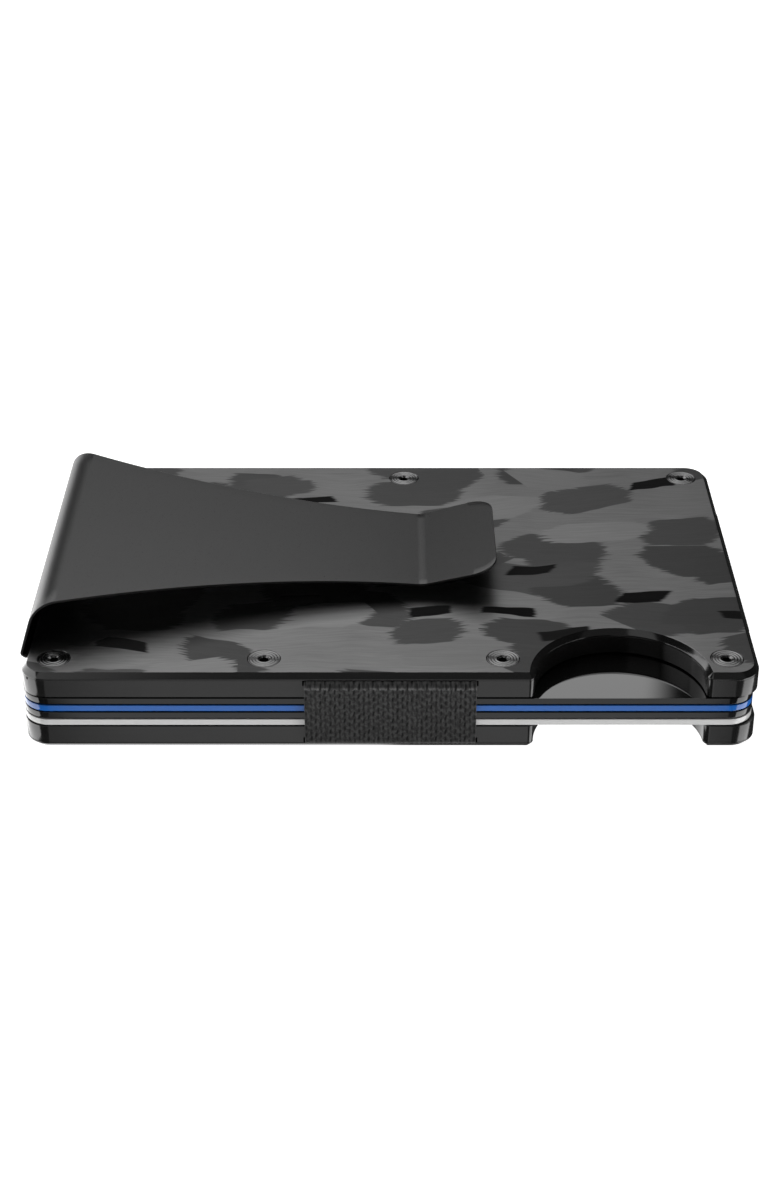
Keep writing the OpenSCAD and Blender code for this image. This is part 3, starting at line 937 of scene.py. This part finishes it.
def coated_steel():
    """Spring steel under a thin black ceramic coat: satin, with a very fine even grain."""
    material, tree, shader = finish_material("coated_spring_steel", IOR=1.5, Specular_IOR_Level=0.2)
    place = place_in(tree)
    values = {"Vector": place, "Scale": 7.0, "Detail": 4.0, "Roughness": 0.7}
    grain = Wire.node(tree, "ShaderNodeTexNoise", None, values)
    cloud = Wire.node(tree, "ShaderNodeTexNoise", None, {"Vector": place, "Scale": 0.12, "Detail": 2.0})
    tone = grain.mix(0.009, 0.016) * cloud.mix(0.92, 1.08)
    tree.links.new(grey(tree, tone).socket, shader.inputs["Base Color"])
    tree.links.new(grain.mix(0.24, 0.34).socket, shader.inputs["Roughness"])
    bumped(tree, shader, grain, 0.004)
    return material


def clip_line():
    """Stations along the middle of the sheet, from under the face plate to the tip: x, z and direction.

    It also gives the place of the crease along X.
    """
    stations = [(CLIP_BASE_X[0] + 0.7, foot.y, 180.0), (CLIP_BASE_X[0], foot.y, 180.0)]

    def ahead(distance, turn=0.0, steps=1):
        """Goes on by a distance while turning right through an angle."""
        for _ in range(steps):
            x, z, way = stations[-1]
            half_turn = math.radians(turn / steps / 2)
            chord = distance / steps * (math.sin(half_turn) / half_turn if turn else 1)
            aim = math.radians(way) - half_turn
            stations.append((x + chord * math.cos(aim), z + chord * math.sin(aim), way - turn / steps))

    def bend(radius, turn, steps):
        """Turns right through an angle at a radius."""
        ahead(radius * math.radians(turn), turn, steps)

    ahead(CLIP_BASE_X[0] - foot.x)
    bend(FOOT_R, 90 + LEG_LEAN, 14)
    ahead(LEG_L, steps=4)
    bend(CROWN_R, 90 - LEG_LEAN + ARM_SLOPE, 28)
    ahead(ARM_L - CREASE_BEND_L / 2, steps=40)
    crease_x = stations[-1][0] + CREASE_BEND_L / 2
    ahead(CREASE_BEND_L, -(ARM_SLOPE + TIP_RISE), CREASE_STEPS)
    rounded = TIP_CORNER / math.cos(math.radians(TIP_RISE))
    ahead(TIP_L - CREASE_BEND_L / 2 - rounded, steps=5)
    done = 0.0
    for i in range(1, TIP_STEPS + 1):
        share = math.sin(math.pi / 2 * i / TIP_STEPS)
        ahead(rounded * (share - done))
        done = share
    return stations, crease_x


def clip_half_w(x, crease_x, tip_x):
    """Half of the sheet's width: a flare from the crease to the foot, and a tip with round corners."""
    if x < crease_x:
        share = min(1, (crease_x - x) / (crease_x - foot.x))
        return CREASE_HALF_W + (FOOT_HALF_W - CREASE_HALF_W) * share ** TAPER_POWER
    share = min(1, (x - crease_x) / (TIP_L - TIP_CORNER))
    half = CREASE_HALF_W + (TIP_HALF_W - CREASE_HALF_W) * share
    into = x - (tip_x - TIP_CORNER)
    if into > 0:
        half += math.sqrt(max(0, TIP_CORNER ** 2 - into ** 2)) - TIP_CORNER
    return half


def sheet_section(half):
    """Round a cut across the sheet: places along Y, and shares of the thickness from its middle."""
    flat = [(half - SHEET_EDGE_R) * (2 * i / SHEET_COLUMNS - 1) for i in range(SHEET_COLUMNS + 1)]
    drops = [SHEET_EDGE_R * (1 - math.cos(a)) for a in (0.5, 1.0, math.pi / 2)]
    reaches = [half - SHEET_EDGE_R * (1 - math.sin(a)) for a in (0.5, 1.0, math.pi / 2)]
    upper = [(y, 0.5 - drop / CLIP_T) for y, drop in zip(reaches, drops)]
    edge = upper + [(y, -share) for y, share in reversed(upper)]
    loop = [(y, 0.5) for y in flat] + edge + [(y, -0.5) for y in reversed(flat)]
    return loop + [(-y, -share) for y, share in edge]


line, crease_x = clip_line()
tip_x = line[-1][0]
points = []
for x, z, way in line:
    in_base = z < foot.y + 0.001 or x < -half_l
    half = FOOT_HALF_W if in_base else clip_half_w(x, crease_x, tip_x)
    normal = Vector((-math.sin(math.radians(way)), math.cos(math.radians(way)))) * CLIP_T
    loop = sheet_section(half)
    points += [(x + normal.x * share, y, z + normal.y * share) for y, share in loop]
m = len(loop)
faces = [(k * m + i, (k + 1) * m + i, (k + 1) * m + (i + 1) % m, k * m + (i + 1) % m)
         for k in range(len(line) - 1) for i in range(m)]
faces += [tuple(range(m)), tuple(reversed(range((len(line) - 1) * m, len(line) * m)))]
clip = settled(new_piece("money_clip_blade", points, faces), 40)
coat = coated_steel()
clip.data.materials.append(coat)
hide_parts("money_clip_arm")
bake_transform(clip)

base_low, base_high = foot.y - CLIP_T / 2, foot.y + CLIP_T / 2
rim = eased([(0.3, base_low), (0, base_low), (0, base_high), (0.3, base_high)], 0.05, 2)
base_corners = ((CLIP_BASE_X[0], -CLIP_BASE_HALF_W), (CLIP_BASE_X[1], CLIP_BASE_HALF_W))
base_outline = rounded_rectangle(*base_corners, EAR_R, 12)
base = slab("money_clip_foot", base_outline, rim)
pin_low, pin_high = PIN_CUTTER_Z
pin = [(0, pin_low), (PIN_HOLE_R, pin_low), (PIN_HOLE_R, pin_high), (0, pin_high)]
carve(base, gathered("pin_holes", [lathe(pin, place) for place in screw_places("top_clip_screws")]))
settled(base)
base.data.materials.append(coat)
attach(base, "top_half")
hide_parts("money_clip_base")
